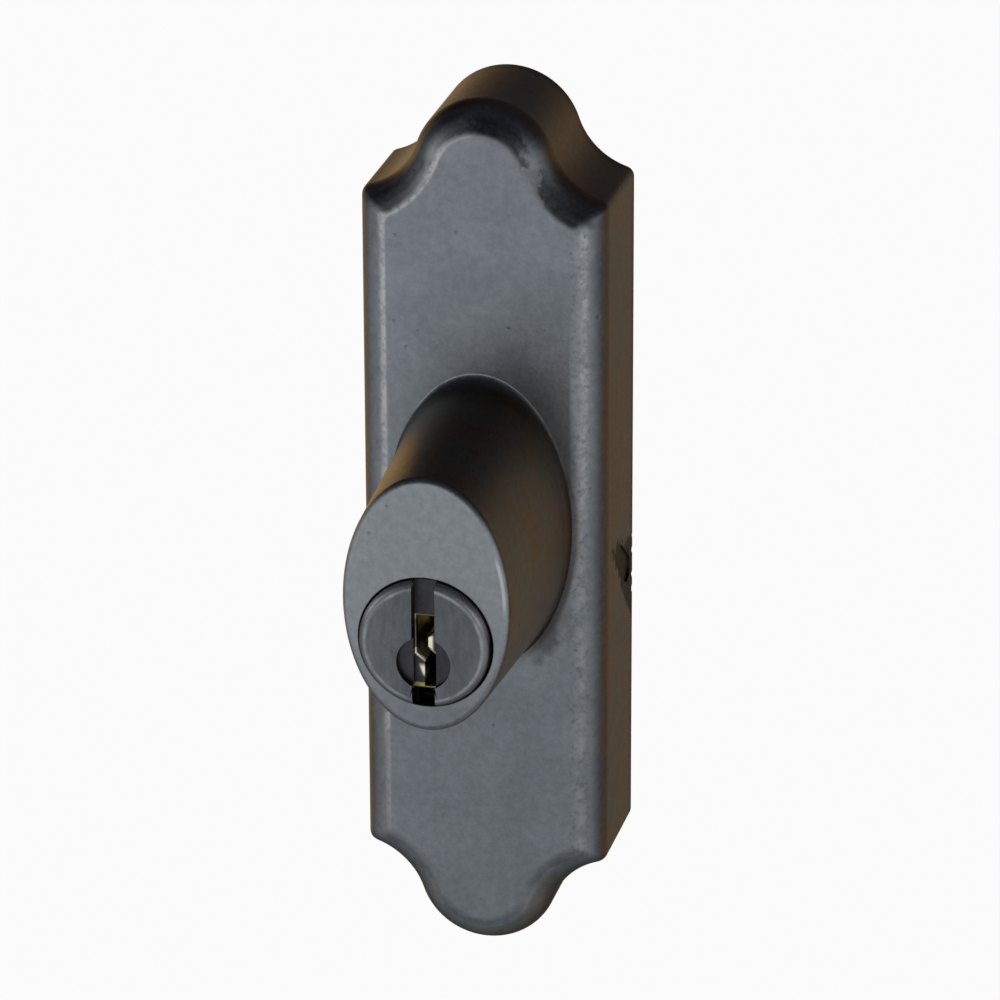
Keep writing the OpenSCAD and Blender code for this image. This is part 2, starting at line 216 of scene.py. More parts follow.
def outwards(obj):
    """Merges doubles and turns every face of a closed mesh outwards"""
    edit(obj)
    bpy.ops.mesh.select_all(action='SELECT')
    bpy.ops.mesh.remove_doubles(threshold=WELD * MM)
    bpy.ops.mesh.normals_make_consistent(inside=False)
    done()


def at_level(p, level):
    """Whether the point lies at that level of Y"""
    return abs(p.y - level) < WELD


def close_ends(obj, levels):
    """Puts one flat face on the open ring at each of those levels of Y"""
    edit(obj)
    for level in levels:
        pick(obj, 'EDGE', lambda *ends: all(at_level(p, level) for p in ends))
        bpy.ops.mesh.edge_face_add()
    outwards(obj)


def smooth(obj, angle=32, flat_level=None):
    """Smooth shading up to that angle, with the large faces kept flat, and all of those at the flat level"""
    only(obj)
    bpy.ops.object.shade_smooth_by_angle(angle=math.radians(angle))
    if flat_level is not None:
        edit(obj)
        pick(obj, 'FACE', lambda c, n: at_level(c, flat_level) and n.y < -0.999)
        bpy.ops.mesh.faces_shade_flat()
        done()
    only(obj)
    mod = obj.modifiers.new("flat_faces", 'WEIGHTED_NORMAL')
    mod.keep_sharp = True
    bpy.ops.object.modifier_apply(modifier=mod.name)


def fillet(a, v, b, r, steps):
    """The corner v between a and b, rounded to radius r, as points from a's side to b's"""
    a, v, b = Vector(a), Vector(v), Vector(b)
    u = (a - v).normalized()
    w = (b - v).normalized()
    half = u.angle(w) / 2
    c = v + (u + w).normalized() * (r / math.sin(half))
    start = v + u * (r / math.tan(half)) - c
    span = math.pi - 2 * half
    turn = span if u.x * w.y - u.y * w.x < 0 else -span
    return [c + Matrix.Rotation(turn * i / steps, 2) @ start for i in range(steps + 1)]


# The plate's outline: corner, hollow shoulder and crown

def meet_hollow():
    """Centre of the hollow beside the crown: it touches the crown and runs through the corner"""
    crown = Vector((0, PLATE_HALF_H - CROWN_R))
    corner = Vector((PLATE_HALF_W, PLATE_HALF_H - CROWN_RISE))
    apart = corner - crown
    d = apart.length
    u = apart / d
    s = ((CROWN_R + HOLLOW_R) ** 2 - HOLLOW_R ** 2 + d * d) / (2 * d)
    return crown + s * u + math.sqrt((CROWN_R + HOLLOW_R) ** 2 - s * s) * Vector((-u.y, u.x))


def outline_chain(inset, y):
    """Draws a quarter of the outline, drawn in by inset, at the level y: side, corner, hollow, crown"""
    hollow = meet_hollow()
    x = PLATE_HALF_W - inset - CORNER_R
    z = hollow.y - math.sqrt((HOLLOW_R + inset + CORNER_R) ** 2 - (hollow.x - x) ** 2)
    lean = math.atan2(hollow.y - z, hollow.x - x)
    rise = math.atan2(hollow.y - (PLATE_HALF_H - CROWN_R), hollow.x)
    bpy.ops.mesh.select_all(action='DESELECT')
    bpy.ops.mesh.primitive_plane_add(size=MM, location=((PLATE_HALF_W - inset) * MM, y * MM, 0))
    bpy.ops.mesh.merge(type='CENTER')
    bpy.ops.mesh.extrude_region_move(TRANSFORM_OT_translate={"value": (0, 0, z * MM)})
    corner = (x, z, lean, 8)
    shoulder = (hollow.x, hollow.y, rise - lean, 16)
    crown = (0, PLATE_HALF_H - CROWN_R, math.pi / 2 - rise, 20)
    for cx, cz, angle, steps in (corner, shoulder, crown):
        bpy.ops.mesh.spin(steps=steps, angle=angle, center=(cx * MM, y * MM, cz * MM), axis=(0, 1, 0))


def outline_skin(name, profile):
    """A skin over the outline, its profile given as inset and level, mirrored to all four quarters"""
    obj = skin(name, outline_chain, profile)
    mod = obj.modifiers.new("quarters", 'MIRROR')
    mod.use_axis = (True, False, True)
    mod.merge_threshold = WELD * MM
    only(obj)
    bpy.ops.object.modifier_apply(modifier=mod.name)
    return obj


# The casting: plate and barrel in one

# Shares of the root's flare: at the sides, at the two ends, and how far it moves upwards
FLARE_SIDE, FLARE_ENDS, FLARE_UP = 0.1, 0.545, 0.136
# Radii of the roundings
FLARE_R = 2.2
FACE_RIM_R = 0.75
RIDGE_R = 2.0
EDGE_R = 3.0
LIP_R = 0.15
ROOF_R = 0.9
BARREL_INSIDE_Y = CAVITY_Y - 0.5


def barrel_profile():
    """Distance out from the barrel's root, and level, from inside the plate over the flare to the face"""
    slant = (ROOT_SIZE[0] - FACE_SIZE[0]) / 2
    low = FLAT_Y + 0.03
    root = fillet((6, low), (0, low), (-slant, FACE_Y), FLARE_R, 10)
    rim = fillet((0, FLAT_Y), (-slant, FACE_Y), (-6, FACE_Y), FACE_RIM_R, 8)
    return [(root[0].x, BARREL_INSIDE_Y)] + root + rim


def oval_ring(dx, y):
    """Draws an oval ring, half as wide as the root and wider by dx. The root flares little at its sides and
    widely above"""
    share = min(max((FLAT_Y - y) / BARREL_LEN, 0), 1)
    wide = (ROOT_SIZE[0] - FACE_SIZE[0]) * share
    tall = (ROOT_SIZE[1] - FACE_SIZE[1]) * share
    flare = max(dx, 0)
    middle = (0, y * MM, (BARREL_Z + FLARE_UP * flare) * MM)
    half_w = ROOT_SIZE[0] / 2 + min(dx, 0) + FLARE_SIDE * flare
    half_h = (ROOT_SIZE[1] - tall) / 2 + min(dx, 0) + wide / 2 + FLARE_ENDS * flare
    bpy.ops.mesh.select_all(action='DESELECT')
    bpy.ops.mesh.primitive_circle_add(vertices=112, radius=MM, location=middle, rotation=(math.pi / 2, 0, 0))
    bpy.ops.transform.resize(value=(half_w, 1, half_h), center_override=middle)


# The mark's two ends, measured along its slope from the door's face, and the height at which it would meet it
MARK_NEAR, MARK_FAR, MARK_Z = 3.882, 7.888, -9.4
MARK_SLOPE = -37
MARK_R = 1.5
MARK_DEPTH = 1.3
MARK_OUT = 0.35
# How far a chip's centre stands out of the wall, as a share of its radius, and Y, Z and radius of each chip
CHIP_OUT = 0.78
CHIPS = [(-0.4, -4.2, 0.6), (-0.5, -5.9, 0.8), (-0.3, -7.3, 0.5),
         (-0.6, -8.8, 0.8), (-0.4, -10.4, 0.9), (-3.0, -5.2, 0.5)]


def trim_mark():
    """The cutter of the mark that trimming left in the right wall: a rod along X, stretched to a long hole"""
    bpy.ops.object.select_all(action='DESELECT')
    bpy.ops.mesh.primitive_cylinder_add(
        vertices=64, radius=MARK_R * MM, depth=MARK_DEPTH * MM,
        location=((PLATE_HALF_W + MARK_OUT) * MM, -MARK_NEAR * MM, 0), rotation=(0, math.pi / 2, 0))
    mark = settle(bpy.context.object)
    edit(mark)
    pick(mark, 'VERT', lambda p: p.y < -MARK_NEAR - 0.01)
    bpy.ops.transform.translate(value=(0, (MARK_NEAR - MARK_FAR) * MM, 0))
    done()
    mark.rotation_euler = (math.radians(MARK_SLOPE), 0, 0)
    mark.location = (0, 0, MARK_Z * MM)
    return settle(mark)


def chip(y, z, r):
    """The cutter of a small chip in the edge behind the trimming mark"""
    bpy.ops.object.select_all(action='DESELECT')
    bpy.ops.mesh.primitive_ico_sphere_add(
        subdivisions=2, radius=r * MM, location=((PLATE_HALF_W + r * CHIP_OUT) * MM, y * MM, z * MM))
    return settle(bpy.context.object)


def plate_shell():
    """The plate, from its flat over ridge and rim, with the gasket's groove, to the roof of its hollow"""
    ridge, edge, rim = (BEVEL_W, FLAT_Y), (0, EDGE_Y), (0, RIM_Y)
    inner, roof = (SKIN_T, RIM_Y), (SKIN_T, CAVITY_Y)
    near, far = GROOVE
    profile = (
        fillet((PLATE_HALF_W, FLAT_Y), ridge, edge, RIDGE_R, 6)
        + fillet(ridge, edge, rim, EDGE_R, 12)
        + fillet(edge, rim, (near, RIM_Y), LIP_R, 2)
        + [(near, RIM_Y), (near, GROOVE_Y), (far, GROOVE_Y), (far, RIM_Y)]
        + fillet((far, RIM_Y), inner, roof, LIP_R, 2)
        + fillet(inner, roof, (6, CAVITY_Y), ROOF_R, 5)
    )
    shell = outline_skin("casting", profile)
    close_ends(shell, (FLAT_Y, CAVITY_Y))
    return shell


def tower_pocket():
    """The cutter of the pocket round the cylinder's tower, its two upper corners chamfered"""
    half = TOWER_W / 2 + PLAY
    pocket = block("pocket", (-half, half), (SHELL_FRONT, BITE), (PLUG_Z, PLUG_Z + TOWER_TOP + PLAY))
    edit(pocket)
    pick(pocket, 'EDGE', lambda a, b: abs(a.x - b.x) < 0.01 and abs(a.z - b.z) < 0.01 and a.z > 0)
    bpy.ops.mesh.bevel(offset=0.8 * MM, segments=1)
    done()
    return pocket


def on_window(p):
    """Whether the point lies on the edge of the plug's window"""
    return at_level(p, FACE_Y) and abs(math.hypot(p.x, p.z - PLUG_Z) - HEAD_R - PLAY) < 0.02


def make_casting():
    """Plate, barrel and bosses in one, with all that is cut out of them"""
    casting = plate_shell()
    barrel = skin("barrel", oval_ring, barrel_profile())
    close_ends(barrel, (BARREL_INSIDE_Y, FACE_Y))
    posts = (-POST_Z, POST_Z)
    boolean(casting, barrel, 'UNION')
    for z in posts:
        boolean(casting, rod("post_boss", POST_BOSS_R, CAVITY_Y - BITE, COLLAR_Y, z), 'UNION')
    for z in SCREW_Z:
        boolean(casting, rod("screw_boss", SCREW_BOSS_R, CAVITY_Y - BITE, SHELL_BACK, z), 'UNION')
    cutters = [tower_pocket(), rod("shell_pocket", SHELL_R + PLAY, SHELL_FRONT, BITE, PLUG_Z),
               rod("window", HEAD_R + PLAY, FACE_Y - BITE, SHELL_FRONT + BITE, PLUG_Z, sides=128)]
    cutters += [rod("socket", POST_R + 0.05, CAVITY_Y, BITE, z) for z in posts]
    deep = SHELL_BACK - SCREW_HOLE_LEN
    cutters += [rod("screw_hole", SCREW_HOLE_R, deep, BITE, z, sides=48) for z in SCREW_Z]
    cutters += [trim_mark()] + [chip(*each) for each in CHIPS]
    for cutter in cutters:
        boolean(casting, cutter, 'DIFFERENCE')
    edit(casting)
    pick(casting, 'EDGE', lambda *ends: all(on_window(p) for p in ends))
    bpy.ops.mesh.bevel(offset=0.18 * MM, segments=3)
    done()
    smooth(casting)
    return place(casting, "escutcheon")


def chain(points):
    """Draws edges from point to point, and leaves the last vertex selected"""
    bpy.ops.mesh.select_all(action='DESELECT')
    bpy.ops.mesh.primitive_plane_add(size=MM, location=Vector(points[0]) * MM)
    bpy.ops.mesh.merge(type='CENTER')
    for a, b in zip(points, points[1:]):
        step = (Vector(b) - Vector(a)) * MM
        bpy.ops.mesh.extrude_region_move(TRANSFORM_OT_translate={"value": step})


def turned(name, profile, z, steps=96):
    """A turned piece with flat ends on the axis along Y through z, its profile given as radius and level"""
    obj = empty_mesh(name)
    chain([(r, y, z) for r, y in profile])
    bpy.ops.mesh.select_all(action='SELECT')
    bpy.ops.mesh.spin(steps=steps, angle=2 * math.pi, center=(0, 0, z * MM), axis=(0, 1, 0))
    bpy.ops.mesh.select_all(action='SELECT')
    bpy.ops.mesh.remove_doubles(threshold=WELD * MM)
    done()
    close_ends(obj, (profile[0][1], profile[-1][1]))
    return obj


def prism(name, points, y0, y1):
    """A flat shape, given as x and z, as thick as from y0 to y1"""
    obj = empty_mesh(name)
    chain([(x, y0, z) for x, z in points + points[:1]])
    bpy.ops.mesh.select_all(action='SELECT')
    bpy.ops.mesh.remove_doubles(threshold=WELD * MM)
    bpy.ops.mesh.edge_face_add()
    bpy.ops.mesh.extrude_region_move(TRANSFORM_OT_translate={"value": (0, (y1 - y0) * MM, 0)})
    outwards(obj)
    return obj


def upright_rod(name, r, y, z0, z1):
    """A round rod along Z"""
    bpy.ops.object.select_all(action='DESELECT')
    bpy.ops.mesh.primitive_cylinder_add(
        vertices=48, radius=r * MM, depth=(z1 - z0) * MM, location=(0, y * MM, (z0 + z1) / 2 * MM))
    bpy.context.object.name = name
    return settle(bpy.context.object)


# The plug: head with slot, dimple and warded keyway, and the stem with its pin chambers

# X and Z of the keyway's corners, from the plug's axis
KEYWAY = [(1.0, 2.7), (1.0, 1.3), (0.1, 0.6), (0.1, -0.9), (1.0, -1.6),
          (1.0, -4.8), (-0.1, -4.8), (-0.1, -2.0), (-1.0, -1.3), (-1.0, 2.7)]
# The notch below the keyway: half its width, where it ends, and its lower and upper side from the plug's axis
FOOT_HALF_W, FOOT_END_Y, FOOT_LOW, FOOT_HIGH = 0.8, -33.5, -7.3, -5.2
SLOT_REACH = 8
SLOT_FLOOR_Y = HEAD_Y + SLOT_DEPTH
SHOULDER_Y = SHELL_FRONT - 0.05
KEYWAY_END_Y = SHELL_BACK - 1.5
TAIL_R = 4.4
TAIL_LEN = 2.05
PIN_R = 0.65
HEAD_RIM_R = 0.8
MOUTH_BEVEL = 0.34
HEAD_BEVEL = 0.06


def in_mouth(a, b):
    """Whether an edge belongs to the keyway's outline in the slot's floor"""
    sides = list(zip(KEYWAY, KEYWAY[1:] + KEYWAY[:1]))
    level = all(at_level(p, SLOT_FLOOR_Y) for p in (a, b))
    return level and any(all(beside(p, *side) for p in (a, b)) for side in sides)


def beside(p, start, end):
    """Whether p lies on the line from start to end, seen from the front"""
    a, b = Vector(start), Vector(end)
    spot = Vector((p.x, p.z - PLUG_Z))
    along = (spot - a).dot(b - a) / (b - a).length_squared
    return -0.001 < along < 1.001 and (a + (b - a) * along - spot).length < 0.003


def level_edges(obj, level):
    """In edit mode, selects the sharp edges of the flat faces at the level"""
    bpy.ops.mesh.select_mode(type='EDGE')
    bpy.ops.mesh.select_all(action='DESELECT')
    bpy.ops.mesh.edges_select_sharp(sharpness=math.radians(30))
    done()
    spot = [v.co / MM for v in obj.data.vertices]
    sharp = [e for e in obj.data.edges if e.select]
    level_ones = [e.index for e in sharp if all(at_level(spot[i], level) for i in e.vertices)]
    edit(obj)
    done()
    for index in level_ones:
        obj.data.edges[index].select = True
    bpy.ops.object.mode_set(mode='EDIT')


def make_plug():
    """The head with its rounded rim, the stem and the tail, with all that is cut out of them"""
    rim = [tuple(p) for p in fillet((0, HEAD_Y), (HEAD_R, HEAD_Y), (HEAD_R, SHOULDER_Y), HEAD_RIM_R, 8)]
    stem = [(HEAD_R, SHOULDER_Y), (PLUG_R, SHOULDER_Y), (PLUG_R, SHELL_BACK)]
    tail = [(TAIL_R, SHELL_BACK), (TAIL_R, SHELL_BACK + TAIL_LEN)]
    plug = turned("plug_turned", rim + stem + tail, PLUG_Z, steps=128)
    front = HEAD_Y - BITE
    cutters = [
        block("slot", (-SLOT_HALF_W, SLOT_HALF_W), (front, SLOT_FLOOR_Y),
              (PLUG_Z - SLOT_REACH, PLUG_Z + SLOT_REACH)),
        rod("dimple", DIMPLE_R, front, HEAD_Y + DIMPLE_DEPTH, PLUG_Z + DIMPLE_RISE),
        prism("keyway", [(x, z + PLUG_Z) for x, z in KEYWAY], front, KEYWAY_END_Y),
        block("foot", (-FOOT_HALF_W, FOOT_HALF_W), (front, FOOT_END_Y),
              (PLUG_Z + FOOT_LOW, PLUG_Z + FOOT_HIGH)),
    ]
    for i in range(CHAMBERS):
        y = SHELL_FRONT + CHAMBER_START + CHAMBER_PITCH * i
        cutters.append(upright_rod("chamber", CHAMBER_R, y, PLUG_Z + CHAMBER_FLOOR, PLUG_Z + CHAMBER_TOP))
    cutters.append(rod("pin_hole", PIN_R, KEYWAY_END_Y, SHELL_BACK + BITE, PLUG_Z + PIN_RISE, sides=32))
    for cutter in cutters:
        boolean(plug, cutter, 'DIFFERENCE')
    # the head's edges slightly broken, the keyway's mouth rounded by the key
    edit(plug)
    pick(plug, 'FACE', lambda c, n: n.y < -0.999 and c.y < SLOT_FLOOR_Y + 0.1)
    bpy.ops.mesh.quads_convert_to_tris()
    level_edges(plug, HEAD_Y)
    bpy.ops.mesh.bevel(offset=HEAD_BEVEL * MM, segments=2)
    pick(plug, 'EDGE', in_mouth)
    bpy.ops.mesh.bevel(offset=MOUTH_BEVEL * MM, segments=3)
    done()
    smooth(plug, flat_level=HEAD_Y)
    return place(plug, "plug")


BODY_OF = {node: body for body, nodes in frame["record"]["behaviour"]["bodies"].items() for node in nodes}
SLOT_OF = {row["node"]: row["material_slot"] for row in frame["record"]["subparts"]}


def place(obj, node):
    """Puts the finished piece in the node's place"""
    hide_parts(node)
    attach(obj, BODY_OF[node])
    return obj


def copied(node):
    """A copy of the node, its points merged and its faces turned outward"""
    only(frame["nodes"][node])
    bpy.ops.object.duplicate()
    obj = bpy.context.object
    obj.name = node + "_finished"
    obj.parent = None
    obj.data.materials.clear()
    outwards(obj)
    return obj


def refined(node, width, segments=2):
    """A copy of a machined node with its flat facets joined and its sharp edges broken"""
    obj = copied(node)
    edit(obj)
    bpy.ops.mesh.select_all(action='SELECT')
    bpy.ops.mesh.dissolve_limited(angle_limit=math.radians(0.6))
    bpy.ops.mesh.select_all(action='DESELECT')
    bpy.ops.mesh.select_mode(type='EDGE')
    bpy.ops.mesh.edges_select_sharp(sharpness=math.radians(28))
    bpy.ops.mesh.bevel(offset=width * MM, segments=segments, clamp_overlap=True)
    done()
    smooth(obj)
    return place(obj, node)


def wound_spring(number):
    """A pin spring with its wire made round, on a mesh of its own"""
    node = f"pin_spring_{number}"
    obj = copied(node)
    edit(obj)
    bpy.ops.mesh.select_all(action='SELECT')
    bpy.ops.transform.shrink_fatten(value=0.018 * MM)
    done()
    obj.modifiers.new("round", 'SUBSURF').levels = 1
    only(obj)
    bpy.ops.object.modifier_apply(modifier="round")
    bpy.ops.object.shade_smooth()
    place(obj, node)
    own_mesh(obj)
    return obj


def make_gasket():
    """The rubber strip, with its corners rounded, more so on the side that meets the door"""
    low, high = GASKET
    corners = [(low, GROOVE_Y), (low, 0.0), (high, 0.0), (high, GROOVE_Y)]
    soft = [0.08, 0.3, 0.3, 0.08]
    profile = []
    for i, corner in enumerate(corners):
        profile += fillet(corners[i - 1], corner, corners[(i + 1) % 4], soft[i], 3)
    obj = outline_skin("gasket", [(p.x, p.y) for p in profile + profile[:1]])
    outwards(obj)
    smooth(obj)
    return place(obj, "rim_gasket")


# The post's thread: radius of the bore and of the grooves, pitch and number of rings
THREAD_R, THREAD_ROOT_R, THREAD_PITCH, THREAD_RINGS = 1.65, 1.9, 0.7, 24
POST_END = 14.0


def make_post(node, z):
    """A mounting post, with rings that stand for the thread in its bore"""
    foot = [(POST_R - 0.5, CAVITY_Y), (POST_R, CAVITY_Y + 0.5), (POST_R, COLLAR_Y)]
    collar = [(COLLAR_R - 0.15, COLLAR_Y), (COLLAR_R, COLLAR_Y + 0.15), (COLLAR_R, COLLAR_Y + 0.8),
              (COLLAR_R - 0.4, COLLAR_Y + 1.2), (POST_R, COLLAR_Y + 1.2)]
    end = [(POST_R, POST_END - 0.5), (POST_R - 0.15, POST_END - 0.15), (POST_R - 0.5, POST_END),
           (THREAD_R + 0.6, POST_END), (THREAD_R + 0.3, POST_END - 0.3)]
    thread = []
    for i in range(THREAD_RINGS):
        y = POST_END - 0.5 - THREAD_PITCH * i
        thread += [(THREAD_R, y), (THREAD_R, y - 0.1), (THREAD_ROOT_R, y - 0.35), (THREAD_ROOT_R, y - 0.4)]
    bottom = [(THREAD_R, -3.4), (THREAD_R, -4.0), (0.03, -5.6)]
    obj = turned(node + "_turned", foot + collar + end + thread + bottom, z, steps=64)
    smooth(obj, 40)
    return place(obj, node)


# How wide the edges of each machined piece are broken
BROKEN_EDGE = {"retainer_plate": 0.25, "retainer_screws": 0.08, "cylinder_body": 0.15, "chamber_cover": 0.12,
               "plug_cap": 0.1, "cap_pin": 0.08, "tailpiece": 0.12}

shown = {"escutcheon": make_casting(), "plug": make_plug(), "rim_gasket": make_gasket()}
for node, z in {"mounting_post_upper": POST_Z, "mounting_post_lower": -POST_Z}.items():
    shown[node] = make_post(node, z)
for node, width in BROKEN_EDGE.items():
    shown[node] = refined(node, width)
for i in range(1, CHAMBERS + 1):
    for node in (f"driver_pin_{i}", f"key_pin_{i}"):
        shown[node] = refined(node, 0.04, 1)
    shown[f"pin_spring_{i}"] = wound_spring(i)


# Colours of the finishes

BRONZE_DARK = (0.155, 0.173, 0.19)
BRONZE_LIGHT = (0.186, 0.206, 0.225)
BRONZE_FACE_LIGHT = (0.225, 0.245, 0.265)
BRONZE_FOOT = (0.172, 0.16, 0.13)
WALL_BROWN = (0.188, 0.148, 0.107)
WALL_WARM = (0.21, 0.14, 0.086)
UNDER_BARREL_LIT = (0.31, 0.255, 0.193)
PIT = (0.07, 0.07, 0.072)
WORN_AND_LIT_GREY = (0.42, 0.43, 0.44)
DARK_PATCH = (0.068, 0.053, 0.04)
GAP_SHADE_BLACK = (0.012, 0.012, 0.013)
BRASS_LIGHT = (0.6, 0.46, 0.22)
BRASS_STAINED = (0.45, 0.34, 0.16)
RUBBER_DARK = (0.018, 0.018, 0.019)
RUBBER_PALE = (0.04, 0.039, 0.038)
HEAD_DARK = (0.1, 0.11, 0.12)
HEAD_LIGHT = (0.135, 0.146, 0.157)
HEAD_RECESS_SHADE = (0.05, 0.05, 0.056)
RIM_GREY = (0.24, 0.245, 0.26)
RIM_HIGHLIGHT = (0.8, 0.78, 0.86)
RING_SHADOW = (0.02, 0.019, 0.021)
RING_HIGHLIGHT = (0.62, 0.6, 0.68)
SLOT_HIGHLIGHT = (0.95, 0.9, 0.75)
SLOT_BRASS = (0.36, 0.31, 0.14)
SLOT_FOOT_SHADOW = (0.006, 0.006, 0.007)
KEYWAY_DARK = (0.11, 0.104, 0.07)
KEYWAY_BRASS = (0.4, 0.36, 0.24)
KEYWAY_OLIVE = (0.95, 0.9, 0.7)
KEYWAY_HIGHLIGHT = (1.0, 0.95, 0.8)
KEYWAY_FOOT_SHADOW = (0.01, 0.01, 0.011)

ZINC = (0.56, 0.56, 0.55)
ZINC_STAINED = (0.44, 0.45, 0.46)
WIRE = (0.6, 0.6, 0.6)
WIRE_STAINED = (0.5, 0.5, 0.5)


# Nodes and masks

MIX_FACTOR, MIX_A, MIX_B, MIX_RESULT = 0, 6, 7, 2       # the sockets of a Mix node that mixes colours


def feed(value, socket):
    """Links a socket to the input, or sets the input to a number, a vector or a colour"""
    if isinstance(value, bpy.types.NodeSocket):
        socket.id_data.links.new(value, socket)
    elif socket.type == 'RGBA':
        socket.default_value = (*value, 1)
    else:
        socket.default_value = value


def add(tree, kind, inputs=None, **settings):
    """A node of that kind, with its settings and with what its inputs are set or linked to"""
    node = tree.nodes.new(kind)
    for key, value in settings.items():
        setattr(node, key, value)
    for key, value in (inputs or {}).items():
        feed(value, node.inputs[key])
    return node


def tree_of(*values):
    """The node tree of the first socket among the values"""
    return next(value.id_data for value in values if isinstance(value, bpy.types.NodeSocket))


def maths(operation, *values):
    """One step of arithmetic on sockets or numbers"""
    return add(tree_of(*values), "ShaderNodeMath", dict(enumerate(values)), operation=operation).outputs[0]


def times(*masks):
    """Masks or numbers multiplied by each other"""
    whole = masks[0]
    for mask in masks[1:]:
        whole = maths('MULTIPLY', whole, mask)
    return whole


def strongest(*masks):
    """At each place the strongest of the masks"""
    whole = masks[0]
    for mask in masks[1:]:
        whole = maths('MAXIMUM', whole, mask)
    return whole


def less(mask, share=1.0):
    """A brightness of 1 that loses that share of itself where the mask is full"""
    return maths('SUBTRACT', 1.0, times(mask, share))


def ramp(value, low, high, to_low=0.0, to_high=1.0):
    """Value carried smoothly from low..high to to_low..to_high"""
    inputs = {"Value": value, "From Min": low, "From Max": high, "To Min": to_low, "To Max": to_high}
    node = add(tree_of(value), "ShaderNodeMapRange", inputs, interpolation_type='SMOOTHSTEP')
    return node.outputs["Result"]


def between(value, start, full, still, end):
    """A mask that rises from start to full, and falls from still to end"""
    return times(ramp(value, start, full), ramp(value, end, still))


def noise(vector, scale, detail=3.0, rough=0.5):
    inputs = {"Vector": vector, "Scale": scale, "Detail": detail, "Roughness": rough}
    return add(tree_of(vector), "ShaderNodeTexNoise", inputs).outputs["Fac"]


def patchy(spot, scale, low, high, to_low=0.0, to_high=1.0, detail=3.0, rough=0.5):
    """Noise carried smoothly from low..high to to_low..to_high"""
    return ramp(noise(spot, scale, detail, rough), low, high, to_low, to_high)


def ragged(spot, scale):
    """How far a torn edge wanders to both sides, in millimetres"""
    return patchy(spot, scale, 0.3, 0.7, -0.7, 0.7, detail=4, rough=0.6)


def blend(factor, a, b, how='MIX'):
    """Two colours mixed by a mask; each of the three is a socket, a number or a colour"""
    inputs = {MIX_FACTOR: factor, MIX_A: a, MIX_B: b}
    mix = add(tree_of(factor, a, b), "ShaderNodeMix", inputs, data_type='RGBA', blend_type=how)
    return mix.outputs[MIX_RESULT]


def shaded(colour, brightness):
    """The colour at that brightness"""
    return blend(1.0, colour, brightness, 'MULTIPLY')


def in_millimetres(tree):
    """The object's own coordinates, in millimetres"""
    inputs = {0: tree.nodes.new("ShaderNodeTexCoord").outputs["Object"], "Scale": 1 / MM}
    return add(tree, "ShaderNodeVectorMath", inputs, operation='SCALE').outputs[0]


def axes(vector):
    """The vector's X, Y and Z"""
    return add(tree_of(vector), "ShaderNodeSeparateXYZ", {"Vector": vector}).outputs


def stretched(vector, scale):
    """The vector with its axes scaled, to draw a pattern out or press it together"""
    return add(tree_of(vector), "ShaderNodeMapping", {"Vector": vector, "Scale": scale}).outputs[0]


def new_finish(name):
    mat = bpy.data.materials.new(name)
    mat.use_nodes = True
    return mat, mat.node_tree, mat.node_tree.nodes["Principled BSDF"]


def finish(bsdf, colour, roughness, metallic, height, strength, distance):
    """Gives the shader its colour and roughness, and the surface its bump, its distance in millimetres"""
    inputs = {"Height": height, "Strength": strength, "Distance": distance * MM}
    normal = add(bsdf.id_data, "ShaderNodeBump", inputs).outputs[0]
    parts = {"Base Color": colour, "Roughness": roughness, "Metallic": metallic, "Normal": normal}
    for name, value in parts.items():
        feed(value, bsdf.inputs[name])


# Effects that more than one finish uses

def effect(name, inputs, outputs):
    """A shader node group with a vector and numbers going in, and masks coming out"""
    tree = bpy.data.node_groups.new(name, 'ShaderNodeTree')
    tree.interface.new_socket("Vector", in_out='INPUT', socket_type='NodeSocketVector')
    for label, value in inputs.items():
        socket = tree.interface.new_socket(label, in_out='INPUT', socket_type='NodeSocketFloat')
        socket.default_value = value
    for label in outputs:
        tree.interface.new_socket(label, in_out='OUTPUT', socket_type='NodeSocketFloat')
    return tree, tree.nodes.new("NodeGroupInput").outputs, tree.nodes.new("NodeGroupOutput").inputs


def edge_wear_effect():
    """Wear along an edge that lies at one level of Y: full there, gone at the width, broken up by noise"""
    tree, given, out = effect("edge_wear", {"Level": 0.0, "Width": 0.3, "Break": 0.5}, ["Mask"])
    away = maths('ABSOLUTE', maths('SUBTRACT', axes(given["Vector"])["Y"], given["Level"]))
    near = maths('SUBTRACT', 1.0, maths('DIVIDE', away, given["Width"]))
    rub = patchy(given["Vector"], given["Break"], 0.36, 0.6, detail=4)
    feed(times(maths('MAXIMUM', near, 0.0), rub), out["Mask"])
    return tree


def cast_grain_effect():
    """Fine grain and slow clouds of a cast surface, and its small pits"""
    inputs = {"Fine": 3.0, "Cloud": 0.12, "Pit": 0.55}
    tree, given, out = effect("cast_grain", inputs, ["Grain", "Clouds", "Pits"])
    feed(noise(given["Vector"], given["Fine"], 5, 0.6), out["Grain"])
    feed(noise(given["Vector"], given["Cloud"], 4, 0.55), out["Clouds"])
    cell = add(tree, "ShaderNodeTexVoronoi", {"Vector": given["Vector"], "Scale": given["Pit"]})
    dot = ramp(cell.outputs["Distance"], 0.05, 0.16, 1.0, 0.0)
    feed(times(dot, patchy(given["Vector"], 0.35, 0.5, 0.62, detail=2)), out["Pits"])
    return tree


EDGE_WEAR = edge_wear_effect()
CAST_GRAIN = cast_grain_effect()


def use(group, vector, **values):
    """Places a shared effect in a material with its own values"""
    return add(tree_of(vector), "ShaderNodeGroup", {"Vector": vector, **values}, node_tree=group).outputs


# The casting's finish, its masks placed in millimetres. Depth counts from the plate's flat towards the door,
# so it is below 0 on the barrel

